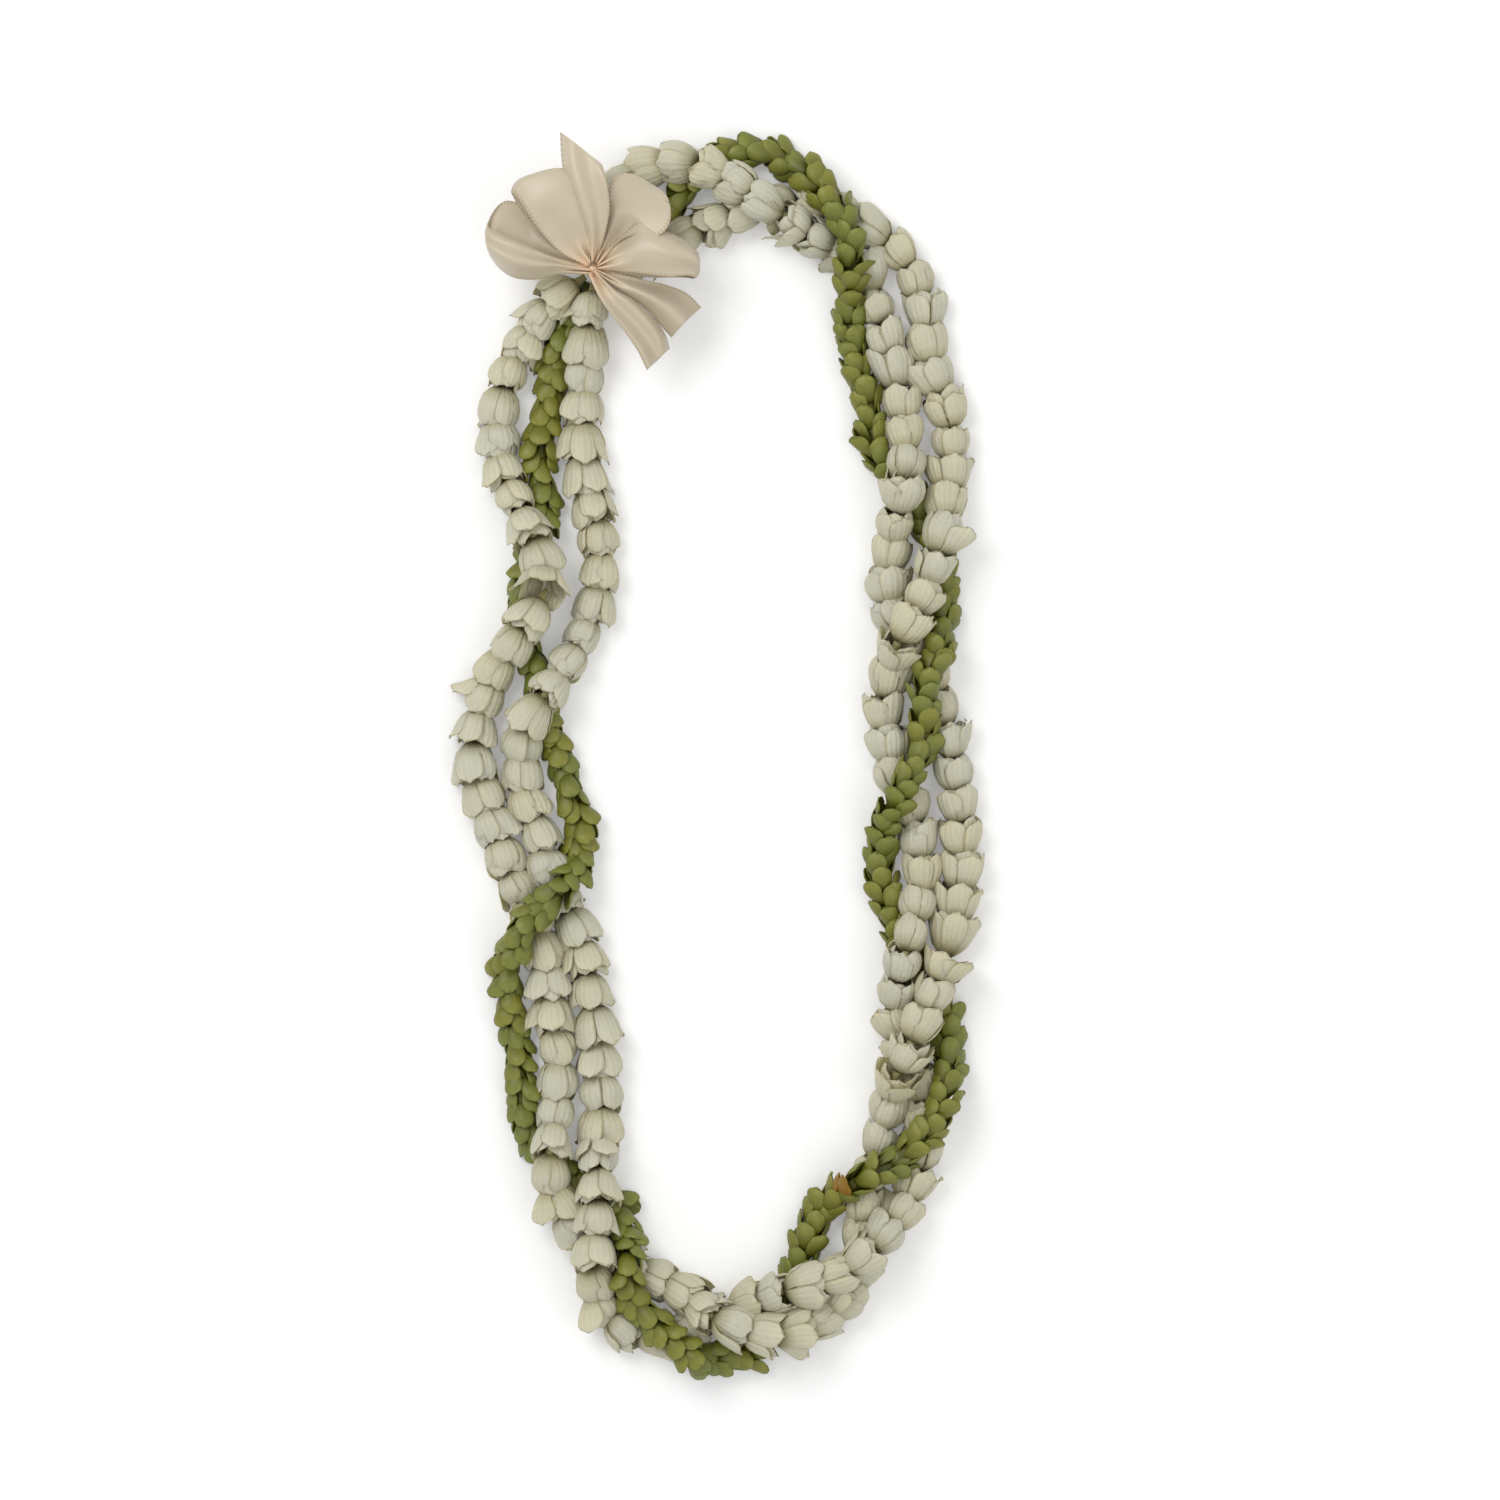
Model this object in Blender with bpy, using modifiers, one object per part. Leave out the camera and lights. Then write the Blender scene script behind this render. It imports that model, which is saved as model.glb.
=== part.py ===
"""Fresh flower lei: three strung strands of blossoms, twisted round each other into one long loop
and tied with a ribbon bow. It lies on a surface. Metres, +Z up; the origin is under its middle."""

import math

import bmesh
import bpy
import numpy as np
from mathutils import Vector

MM = 0.001
COLLECTION = "fresh_flower_lei"

# The gap that touching solids keep, the wider one between a strand's runs of flowers, and the
# sides and sizes of a run, its bore and its thread.
GAP = 0.35 * MM
RUN_GAP = 1.1 * MM
RUN_SIDES = 6
BORE_SIDES = 4
BORE_RADIUS = 1.5 * MM
THREAD_RADIUS = 0.5 * MM

# A flower's section: half its width, half its height above the thread, and its depth below it.
WHITE_SECTION = (5.7 * MM, 5.8 * MM, 6.5 * MM)
GREEN_SECTION = (4.4 * MM, 4.6 * MM, 5.0 * MM)
WHITE_PITCH = 12.4 * MM
GREEN_PITCH = 9.8 * MM
# A flower's outline along the thread: (share of the pitch, share of the full section).
WHITE_OUTLINE = ((0.0, 0.56), (0.34, 0.98), (0.76, 1.0))
GREEN_OUTLINE = ((0.0, 0.6), (0.6, 1.0))
MOUTH_SHARE = 0.72
RUNS_PER_STRAND = 15

# How the strands settle: the room each one takes, the height of its thread where it rests on the
# surface, and the extra height at which a strand that lies over another starts.
WHITE_ROOM = 6.05 * MM
GREEN_ROOM = 4.8 * MM
WHITE_REST = 5.35 * MM
GREEN_REST = 4.1 * MM
LIFT = 11.5 * MM
ROUTE_STEP = 4.0 * MM
SETTLING_STEPS = 260
FALL = 0.12 * MM
SIDEWAYS = 0.35
SMOOTHING = 0.3
SAME_STRETCH = 32 * MM
BARE_ROOM = 1.0 * MM
FULL_ROOM_AT = 9 * MM

# Each strand's route in the order its flowers are strung, from the knot down the left side, round
# the bottom, up the right side and back along the top: x and y in millimetres, and its level, 0
# where it lies on the surface and 1 where it passes over another strand.
WHITE_OUTER = (
    (-50.5, 180, 0.3), (-68, 165, 0), (-81, 142, 0), (-84, 113, 0), (-74, 92, 0.3), (-66, 74, 1),
    (-66, 60, 1), (-79, 41, 0.5), (-91, 16, 0), (-93, -4, 0), (-83, -29, 0), (-76, -52, 0),
    (-65, -74, 0), (-64, -98, 0), (-60, -115, 0), (-62, -136, 1), (-64, -154, 1), (-58, -176, 0.3),
    (-45, -188, 0), (-28, -193, 0), (-11, -202, 0.5), (3, -213, 1), (25, -216, 1), (42, -209, 0.2),
    (54, -191, 0), (53, -176, 0), (57, -153, 0), (64, -131, 0.3), (68, -113, 1), (79, -91, 1),
    (88, -64, 0.3), (91, -40, 0), (88, -7, 0), (85, 15, 0), (76, 37, 0), (65, 54, 0), (62, 68, 0.3),
    (68, 97, 1), (70, 117, 0.6), (66, 142, 0), (59, 170, 0), (53, 187, 0), (36, 194, 0.2),
    (17, 208, 1), (-7, 222, 1), (-24, 222, 0.5), (-40, 214, 0), (-48, 199, 0), (-47.5, 187, 0.3),
)
WHITE_INNER = (
    (-47.5, 178, 0.3), (-50, 163, 0), (-51, 140, 0), (-52, 113, 0), (-46, 88, 0), (-44, 70, 0),
    (-48, 52, 0), (-57, 34, 0.5), (-66, 23, 1), (-74, 9, 0.6), (-76, -5, 0), (-69, -26, 0),
    (-64, -45, 0), (-55, -60, 0), (-50, -78, 0), (-47, -100, 0), (-45, -130, 0), (-46, -158, 0.7),
    (-47, -178, 1), (-48, -192, 1), (-45, -206, 0.4), (-35, -217, 0), (-21, -219, 0), (-5, -212, 0),
    (7, -206, 0), (16, -204, 0.3), (28, -197, 1), (41, -195, 0.8), (53, -188, 1), (66, -173, 0.4),
    (75, -155, 0), (77, -133, 0), (73, -113, 0), (66, -101, 0), (66, -85, 0.4), (70, -72, 1),
    (76, -50, 0.3), (74, -30, 0), (68, -13, 0), (63, 0, 0), (62, 21, 0), (65, 40, 0.5), (71, 50, 1),
    (76, 62, 0.5), (82, 79, 1), (86, 102, 0.3), (87, 127, 0), (79, 148, 0), (75, 175, 0),
    (67, 190, 0), (50, 203, 0), (30, 208, 0), (14, 208, 0), (-5, 201, 0), (-22, 192, 0),
    (-34, 185.5, 0), (-43, 181.5, 0.3),
)
GREEN_MIDDLE = (
    (-49.5, 178.5, 0.3), (-55, 167, 0), (-62, 150, 0), (-66, 125, 0), (-68, 104, 0), (-67, 92, 0),
    (-71, 77, 0), (-76, 61, 0), (-73, 48, 0), (-70, 32, 0), (-65, 15, 0), (-58, -7, 0),
    (-52, -26, 0), (-53, -40, 0.4), (-60, -50, 1), (-69, -59, 1), (-78, -72, 0.5), (-80, -92, 0),
    (-76, -115, 0), (-74, -134, 0), (-66, -148, 0), (-50, -161, 0), (-38, -168, 0.2),
    (-34, -182, 0.8), (-35, -195, 1), (-30, -208, 0.8), (-18, -218, 1), (-1, -227, 0.3),
    (14, -223, 0), (23, -211, 0), (28, -196, 0), (34, -179, 0), (42, -166, 0.3), (57, -156, 1),
    (70, -149, 1), (80, -136, 0.8), (85, -115, 0.2), (85, -98, 0), (80, -87, 0), (69, -71, 0),
    (61, -52, 0), (60, -36, 0.2), (66, -17, 1), (76, 2, 0.8), (78, 25, 0.9), (81, 42, 1),
    (85, 58, 0.3), (83, 74, 0), (74, 95, 0), (60, 112, 0), (56, 132, 0), (50, 154, 0), (48, 175, 0.5),
    (49, 190, 1), (45, 206, 1), (33, 219, 0.4), (20, 227, 0), (4, 228, 0), (-9, 218, 0),
    (-22, 203, 0), (-35, 195.5, 0), (-44, 186, 0.4),
)

# The knot that the threads end at, the bow above it, and the bare thread next to the knot.
KNOT = Vector((-47.3, 182, 9)) * MM
KNOT_RADIUS = 2.8 * MM
BARE_THREAD = 4 * MM
BOW_HEIGHT = 22 * MM
GATHER_SIZE = (2.8 * MM, 2.8 * MM, 3.4 * MM)
TIE_RADIUS = 0.7 * MM
RIBBON_THICKNESS = 0.7 * MM
RIBBON_WIDTH = 22 * MM
RIBBON_START = 3.6 * MM

# Each loop and tail of the bow: name, heading in degrees, reach and spread in degrees.
BOW_LOOPS = (
    ("bow_loop_left", 168, 37 * MM, 15.5),
    ("bow_loop_upper_left", 126, 38 * MM, 17),
    ("bow_loop_upper_right", 55, 36 * MM, 18),
    ("bow_loop_right", 3, 38 * MM, 14),
)
BOW_TAILS = (
    ("bow_tail_upright", 92, 46 * MM, 11),
    ("bow_tail_right", -28, 42 * MM, 11),
    ("bow_tail_lower", -57, 43 * MM, 11),
)
# A loop's centre line, out along the top and back underneath: (share of the reach, height over
# BOW_HEIGHT). A tail's centre line likewise.
LOOP_LINE = (
    (0.0, 1.2), (0.3, 3.4), (0.6, 6.0), (0.86, 6.6), (0.98, 4.4), (1.0, 1.0),
    (0.95, -2.2), (0.78, -3.4), (0.4, -2.9), (0.0, -1.4),
)
TAIL_LINE = ((0.0, 0.0), (0.35, 1.5), (0.7, -1.2), (1.0, -6.0))
TAIL_TIP_SHARE = 0.12


def material(name, colour, roughness):
    made = bpy.data.materials.new(name)
    made.use_nodes = True
    shader = made.node_tree.nodes["Principled BSDF"]
    shader.inputs["Base Color"].default_value = (*colour, 1)
    shader.inputs["Roughness"].default_value = roughness
    shader.inputs["Metallic"].default_value = 0.0
    return made


def start_scene():
    for old in list(bpy.data.objects):
        bpy.data.objects.remove(old)
    parts = bpy.data.collections.new(COLLECTION)
    bpy.context.scene.collection.children.link(parts)
    finishes = {
        "white_petal": material("white_petal", (0.62, 0.58, 0.42), 0.55),
        "green_petal": material("green_petal", (0.2, 0.25, 0.06), 0.5),
        "thread": material("thread", (0.7, 0.66, 0.52), 0.8),
        "ribbon": material("ribbon", (0.72, 0.62, 0.48), 0.35),
    }
    return parts, finishes


def place(parts, mesh_or_curve, name, finish):
    piece = bpy.data.objects.new(name, mesh_or_curve)
    piece.data.materials.append(finish)
    parts.objects.link(piece)
    return piece


def smooth_route(points):
    """A Catmull-Rom curve through the points, read every ROUTE_STEP along it."""
    ends = np.vstack([2 * points[0] - points[1], points, 2 * points[-1] - points[-2]])
    fine = []
    for a, b, c, d in zip(ends, ends[1:], ends[2:], ends[3:]):
        for t in np.linspace(0, 1, 16, endpoint=False):
            fine.append(
                0.5 * (2 * b + (c - a) * t + (2 * a - 5 * b + 4 * c - d) * t**2
                       + (3 * b - a - 3 * c + d) * t**3)
            )
    fine = np.array([*fine, points[-1]])
    along = distances_along(fine)
    stations = np.linspace(0, along[-1], round(along[-1] / ROUTE_STEP) + 1)
    return np.column_stack([np.interp(stations, along, fine[:, i]) for i in range(3)])


def distances_along(points):
    return np.concatenate([[0], np.cumsum(np.linalg.norm(np.diff(points, axis=0), axis=1))])


def settled(strands):
    """The routes after the strands have sunk onto the surface and onto each other. Strands that
    touch push each other apart, more upwards than sideways, so the loop keeps its plan."""
    points = np.concatenate([strand["route"] for strand in strands])
    room = np.concatenate([room_along(s) for s in strands])
    rest = np.concatenate([np.full(len(s["route"]), s["rest"]) for s in strands])
    owner = np.concatenate([np.full(len(s["route"]), i) for i, s in enumerate(strands)])
    along = np.concatenate([distances_along(s["route"]) for s in strands])
    ends = np.flatnonzero(np.diff(owner)) + 1
    pinned = np.isin(np.arange(len(points)), [0, *ends, *(ends - 1), len(points) - 1])
    need = room[:, None] + room[None, :] + GAP
    same = (owner[:, None] == owner[None, :]) & (abs(along[:, None] - along[None, :]) < SAME_STRETCH)
    plan = points[:, :2].copy()
    weight = np.array([SIDEWAYS, SIDEWAYS, 1.0])
    for step in range(SETTLING_STEPS):
        before = points.copy()
        settling = step < SETTLING_STEPS * 0.8
        if settling:
            points[:, 2] -= FALL
            inner = ~pinned[1:-1]
            middle = (points[:-2] + points[2:]) / 2
            points[1:-1][inner] += SMOOTHING * (middle - points[1:-1])[inner]
            points[:, :2] += 0.1 * (plan - points[:, :2])
        apart = points[:, None] - points[None, :]
        distance = np.linalg.norm(apart, axis=2) + 1e-9
        short = np.where(same, 0.0, np.clip(need - distance, 0, None))
        push = (apart * (short / distance)[..., None] * 0.5).sum(axis=1)
        points += push / np.maximum((short > 0).sum(axis=1), 1)[:, None] * weight * 1.6
        points[:, 2] = np.maximum(points[:, 2], rest)
        points[pinned] = before[pinned]
    return np.split(points, ends)


def room_along(strand):
    """The room that each point of a strand takes, less where its ends are bare thread."""
    along = distances_along(strand["route"])
    from_end = np.minimum(along, along[-1] - along)
    return np.interp(from_end, (0, FULL_ROOM_AT), (BARE_ROOM, strand["room"]))


def stringing(route, pitch):
    """Where each flower's base is along a route, evenly spaced between the bare ends."""
    length = distances_along(route)[-1] - 2 * BARE_THREAD
    count = int(length / pitch)
    return BARE_THREAD + np.arange(count + 1) * (length / count)


def point_at(route, along):
    """The point at this distance along a route, and the thread's direction there."""
    marks = distances_along(route)
    here, ahead = (
        Vector([np.interp(d, marks, route[:, i]) for i in range(3)])
        for d in (along, along + 0.5 * MM)
    )
    if along + 0.5 * MM > marks[-1]:
        back = Vector([np.interp(along - 0.5 * MM, marks, route[:, i]) for i in range(3)])
        return here, (here - back).normalized()
    return here, (ahead - here).normalized()


def section(centre, heading, sides, half_width, above, below):
    """A ring of points round the thread, with a level bottom edge, kept above the surface."""
    across = heading.cross(Vector((0, 0, 1))).normalized()
    up = across.cross(heading).normalized()
    ring = []
    for i in range(sides):
        angle = 2 * math.pi * i / sides
        rise = math.sin(angle) * (above if math.sin(angle) > 0 else below)
        point = centre + across * math.cos(angle) * half_width + up * rise
        point.z = max(point.z, 0.0)
        ring.append(point)
    return ring


def lofted_tube(outer, bore):
    """One closed tube from rings of points: the outside, the bore and the two ring-shaped ends."""
    mesh = bmesh.new()
    skins = []
    for rings, outwards in ((outer, True), (bore, False)):
        made = [[mesh.verts.new(p) for p in ring] for ring in rings]
        for near, far in zip(made, made[1:]):
            for i in range(len(near)):
                j = (i + 1) % len(near)
                face = (near[i], far[i], far[j], near[j])
                mesh.faces.new(face if outwards else face[::-1])
        skins.append(made)
    for end in (0, -1):
        rims = [ring_edges(mesh, skins[skin][end]) for skin in (0, 1)]
        bmesh.ops.bridge_loops(mesh, edges=rims[0] + rims[1])
    bmesh.ops.recalc_face_normals(mesh, faces=mesh.faces)
    data = bpy.data.meshes.new("run")
    mesh.to_mesh(data)
    mesh.free()
    return data


def ring_edges(mesh, ring):
    return [mesh.edges.get((ring[i - 1], ring[i])) for i in range(len(ring))]


def flower_run(strand, marks, parts, finish, name):
    """One run of flowers on its strand, from the first base to just before the next run's."""
    route = strand["route"]
    half_width, above, below = strand["section"]
    outer = []
    bore = []
    for near, far in zip(marks, marks[1:]):
        for share, size in strand["outline"]:
            centre, heading = point_at(route, near + share * (far - near))
            outer.append(
                section(centre, heading, RUN_SIDES, half_width * size, above * size, below * size)
            )
    last = marks[-1] - RUN_GAP
    centre, heading = point_at(route, last)
    size = MOUTH_SHARE
    outer.append(section(centre, heading, RUN_SIDES, half_width * size, above * size, below * size))
    for along in [marks[0], *bore_stations(marks), last]:
        centre, heading = point_at(route, along)
        bore.append(section(centre, heading, BORE_SIDES, BORE_RADIUS, BORE_RADIUS, BORE_RADIUS))
    return place(parts, lofted_tube(outer, bore), name, finish)


def bore_stations(marks):
    """The middle of each flower, where the thread and its bore both bend."""
    return list((marks[:-1] + marks[1:]) / 2)


def tube(parts, points, radius, name, finish):
    """A round cord through the points, closed at its ends."""
    curve = bpy.data.curves.new(name, "CURVE")
    curve.dimensions = "3D"
    curve.bevel_depth = radius
    curve.bevel_resolution = 0
    curve.use_fill_caps = True
    spline = curve.splines.new("POLY")
    spline.points.add(len(points) - 1)
    for spot, point in zip(spline.points, points):
        spot.co = (*point, 1)
    return place(parts, curve, name, finish)


def thread(strand, marks, run_ends, parts, finish):
    length = distances_along(strand["route"])[-1]
    stations = sorted([0, *bore_stations(marks), *marks[run_ends], length])
    points = [point_at(strand["route"], along)[0] for along in stations]
    tube(parts, points, THREAD_RADIUS, strand["name"] + "_thread", finish)


def ball(parts, centre, size, name, finish):
    mesh = bmesh.new()
    bmesh.ops.create_uvsphere(mesh, u_segments=10, v_segments=6, radius=1)
    for vertex in mesh.verts:
        vertex.co = centre + Vector([a * b for a, b in zip(vertex.co, size)])
    data = bpy.data.meshes.new(name)
    mesh.to_mesh(data)
    mesh.free()
    data.shade_smooth()
    return place(parts, data, name, finish)


def ribbon_strip(parts, line, heading, reach, spread, name, finish, pointed=False):
    """A length of ribbon gathered at the bow's middle, three points wide, given its thickness."""
    out = Vector((math.cos(math.radians(heading)), math.sin(math.radians(heading)), 0))
    across = Vector((-out.y, out.x, 0))
    middle = Vector((KNOT.x, KNOT.y, BOW_HEIGHT))
    mesh = bmesh.new()
    rows = []
    for share, height in line:
        distance = RIBBON_START + share * (reach - RIBBON_START)
        centre = middle + out * distance + Vector((0, 0, height * MM))
        half = min(RIBBON_WIDTH / 2, distance * math.tan(math.radians(spread)))
        lean = reach * TAIL_TIP_SHARE if pointed and share == 1.0 else 0.0
        row = [centre + across * half * side + out * lean * side for side in (-1, 0, 1)]
        rows.append([mesh.verts.new(p) for p in row])
    for near, far in zip(rows, rows[1:]):
        for i in range(2):
            mesh.faces.new((near[i], near[i + 1], far[i + 1], far[i]))
    data = bpy.data.meshes.new(name)
    mesh.to_mesh(data)
    mesh.free()
    data.shade_smooth()
    piece = place(parts, data, name, finish)
    shell = piece.modifiers.new("ribbon thickness", "SOLIDIFY")
    shell.thickness = RIBBON_THICKNESS
    shell.offset = 0
    return piece


def bow(parts, finishes):
    ribbon = finishes["ribbon"]
    for name, heading, reach, spread in BOW_LOOPS:
        ribbon_strip(parts, LOOP_LINE, heading, reach, spread, name, ribbon)
    for name, heading, reach, spread in BOW_TAILS:
        ribbon_strip(parts, TAIL_LINE, heading, reach, spread, name, ribbon, pointed=True)
    gather = Vector((KNOT.x, KNOT.y, BOW_HEIGHT))
    ball(parts, gather, GATHER_SIZE, "bow_gather", ribbon)
    ball(parts, KNOT, (KNOT_RADIUS,) * 3, "thread_knot", finishes["thread"])
    foot = KNOT + Vector((0, 0, KNOT_RADIUS + GAP))
    top = gather - Vector((0, 0, GATHER_SIZE[2] + GAP))
    tube(parts, (foot, top), TIE_RADIUS, "bow_tie", finishes["thread"])


def strand(name, points, white):
    rest = WHITE_REST if white else GREEN_REST
    route = np.array([(x * MM, y * MM, rest + level * LIFT) for x, y, level in points])
    return {
        "name": name,
        "route": smooth_route(route),
        "rest": rest,
        "room": WHITE_ROOM if white else GREEN_ROOM,
        "section": WHITE_SECTION if white else GREEN_SECTION,
        "outline": WHITE_OUTLINE if white else GREEN_OUTLINE,
        "pitch": WHITE_PITCH if white else GREEN_PITCH,
        "finish": "white_petal" if white else "green_petal",
    }


def main():
    parts, finishes = start_scene()
    strands = [
        strand("white_outer", WHITE_OUTER, True),
        strand("white_inner", WHITE_INNER, True),
        strand("green", GREEN_MIDDLE, False),
    ]
    for each, route in zip(strands, settled(strands)):
        each["route"] = route
    for each in strands:
        marks = stringing(each["route"], each["pitch"])
        run_ends = np.round(np.linspace(0, len(marks) - 1, RUNS_PER_STRAND + 1)).astype(int)
        thread(each, marks, run_ends, parts, finishes["thread"])
        for i, (first, last) in enumerate(zip(run_ends, run_ends[1:])):
            name = f"{each['name']}_flowers_{i + 1:02d}"
            flower_run(each, marks[first:last + 1], parts, finishes[each["finish"]], name)
    bow(parts, finishes)


main()
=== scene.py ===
"""Looks of the fresh flower lei: every blossom petal by petal, strung along the three settled
strands, and the satin ribbon bow. It lies on a pale floor and is seen from straight above."""
import math
import random

import bpy
import numpy as np
from mathutils import Matrix, Vector


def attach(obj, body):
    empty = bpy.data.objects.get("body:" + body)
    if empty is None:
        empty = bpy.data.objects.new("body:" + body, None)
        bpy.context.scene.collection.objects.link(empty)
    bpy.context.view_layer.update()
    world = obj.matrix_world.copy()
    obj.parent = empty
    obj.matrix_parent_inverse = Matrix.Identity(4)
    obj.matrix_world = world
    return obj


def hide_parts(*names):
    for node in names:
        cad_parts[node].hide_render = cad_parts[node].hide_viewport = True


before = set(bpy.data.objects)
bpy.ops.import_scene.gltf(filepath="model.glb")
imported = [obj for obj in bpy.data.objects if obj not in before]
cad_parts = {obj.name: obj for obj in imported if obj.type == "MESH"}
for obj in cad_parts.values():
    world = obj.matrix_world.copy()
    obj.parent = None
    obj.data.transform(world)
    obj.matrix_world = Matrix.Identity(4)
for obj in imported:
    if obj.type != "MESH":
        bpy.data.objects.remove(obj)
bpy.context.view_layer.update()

MM = 0.001
BODY = "root"

# ---------------------------------------------------------------- the strands, as the CAD lays them
GAP = 0.35 * MM
WHITE_PITCH = 12.4 * MM
GREEN_PITCH = 9.8 * MM
RUNS_PER_STRAND = 15
WHITE_ROOM = 6.05 * MM
GREEN_ROOM = 4.8 * MM
WHITE_REST = 5.35 * MM
GREEN_REST = 4.1 * MM
LIFT = 11.5 * MM
ROUTE_STEP = 4.0 * MM
SETTLING_STEPS = 260
FALLING_SHARE = 0.8
FALL = 0.12 * MM
SIDEWAYS = 0.35
PUSH = 1.6
SMOOTHING = 0.3
PLAN_PULL = 0.1
SAME_STRETCH = 32 * MM
BARE_ROOM = 1.0 * MM
FULL_ROOM_AT = 9 * MM
BARE_THREAD = 4 * MM

WHITE_OUTER = (
    (-50.5, 180, 0.3), (-68, 165, 0), (-81, 142, 0), (-84, 113, 0), (-74, 92, 0.3), (-66, 74, 1),
    (-66, 60, 1), (-79, 41, 0.5), (-91, 16, 0), (-93, -4, 0), (-83, -29, 0), (-76, -52, 0),
    (-65, -74, 0), (-64, -98, 0), (-60, -115, 0), (-62, -136, 1), (-64, -154, 1), (-58, -176, 0.3),
    (-45, -188, 0), (-28, -193, 0), (-11, -202, 0.5), (3, -213, 1), (25, -216, 1), (42, -209, 0.2),
    (54, -191, 0), (53, -176, 0), (57, -153, 0), (64, -131, 0.3), (68, -113, 1), (79, -91, 1),
    (88, -64, 0.3), (91, -40, 0), (88, -7, 0), (85, 15, 0), (76, 37, 0), (65, 54, 0), (62, 68, 0.3),
    (68, 97, 1), (70, 117, 0.6), (66, 142, 0), (59, 170, 0), (53, 187, 0), (36, 194, 0.2),
    (17, 208, 1), (-7, 222, 1), (-24, 222, 0.5), (-40, 214, 0), (-48, 199, 0), (-47.5, 187, 0.3),
)
WHITE_INNER = (
    (-47.5, 178, 0.3), (-50, 163, 0), (-51, 140, 0), (-52, 113, 0), (-46, 88, 0), (-44, 70, 0),
    (-48, 52, 0), (-57, 34, 0.5), (-66, 23, 1), (-74, 9, 0.6), (-76, -5, 0), (-69, -26, 0),
    (-64, -45, 0), (-55, -60, 0), (-50, -78, 0), (-47, -100, 0), (-45, -130, 0), (-46, -158, 0.7),
    (-47, -178, 1), (-48, -192, 1), (-45, -206, 0.4), (-35, -217, 0), (-21, -219, 0), (-5, -212, 0),
    (7, -206, 0), (16, -204, 0.3), (28, -197, 1), (41, -195, 0.8), (53, -188, 1), (66, -173, 0.4),
    (75, -155, 0), (77, -133, 0), (73, -113, 0), (66, -101, 0), (66, -85, 0.4), (70, -72, 1),
    (76, -50, 0.3), (74, -30, 0), (68, -13, 0), (63, 0, 0), (62, 21, 0), (65, 40, 0.5), (71, 50, 1),
    (76, 62, 0.5), (82, 79, 1), (86, 102, 0.3), (87, 127, 0), (79, 148, 0), (75, 175, 0),
    (67, 190, 0), (50, 203, 0), (30, 208, 0), (14, 208, 0), (-5, 201, 0), (-22, 192, 0),
    (-34, 185.5, 0), (-43, 181.5, 0.3),
)
GREEN_MIDDLE = (
    (-49.5, 178.5, 0.3), (-55, 167, 0), (-62, 150, 0), (-66, 125, 0), (-68, 104, 0), (-67, 92, 0),
    (-71, 77, 0), (-76, 61, 0), (-73, 48, 0), (-70, 32, 0), (-65, 15, 0), (-58, -7, 0),
    (-52, -26, 0), (-53, -40, 0.4), (-60, -50, 1), (-69, -59, 1), (-78, -72, 0.5), (-80, -92, 0),
    (-76, -115, 0), (-74, -134, 0), (-66, -148, 0), (-50, -161, 0), (-38, -168, 0.2),
    (-34, -182, 0.8), (-35, -195, 1), (-30, -208, 0.8), (-18, -218, 1), (-1, -227, 0.3),
    (14, -223, 0), (23, -211, 0), (28, -196, 0), (34, -179, 0), (42, -166, 0.3), (57, -156, 1),
    (70, -149, 1), (80, -136, 0.8), (85, -115, 0.2), (85, -98, 0), (80, -87, 0), (69, -71, 0),
    (61, -52, 0), (60, -36, 0.2), (66, -17, 1), (76, 2, 0.8), (78, 25, 0.9), (81, 42, 1),
    (85, 58, 0.3), (83, 74, 0), (74, 95, 0), (60, 112, 0), (56, 132, 0), (50, 154, 0), (48, 175, 0.5),
    (49, 190, 1), (45, 206, 1), (33, 219, 0.4), (20, 227, 0), (4, 228, 0), (-9, 218, 0),
    (-22, 203, 0), (-35, 195.5, 0), (-44, 186, 0.4),
)


def distances_along(points):
    return np.concatenate([[0], np.cumsum(np.linalg.norm(np.diff(points, axis=0), axis=1))])


def catmull_rom(points, steps):
    """A Catmull-Rom curve through rows of numbers, with this many steps from each to the next."""
    ends = np.vstack([2 * points[0] - points[1], points, 2 * points[-1] - points[-2]])
    fine = []
    for a, b, c, d in zip(ends, ends[1:], ends[2:], ends[3:]):
        for t in np.linspace(0, 1, steps, endpoint=False):
            fine.append(
                0.5 * (2 * b + (c - a) * t + (2 * a - 5 * b + 4 * c - d) * t**2
                       + (3 * b - a - 3 * c + d) * t**3)
            )
    return np.array([*fine, points[-1]])


def read_evenly(fine, along, count):
    """Rows read at this many even distances along a curve."""
    stations = np.linspace(0, along[-1], count)
    return np.column_stack([np.interp(stations, along, column) for column in fine.T])


def smooth_route(points):
    """A smooth curve through the points, read every ROUTE_STEP along it."""
    fine = catmull_rom(points, 16)
    along = distances_along(fine)
    return read_evenly(fine, along, round(along[-1] / ROUTE_STEP) + 1)


def room_along(strand):
    """The room that each point of a strand takes, less where its ends are bare thread."""
    along = distances_along(strand["route"])
    from_end = np.minimum(along, along[-1] - along)
    return np.interp(from_end, (0, FULL_ROOM_AT), (BARE_ROOM, strand["room"]))


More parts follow.
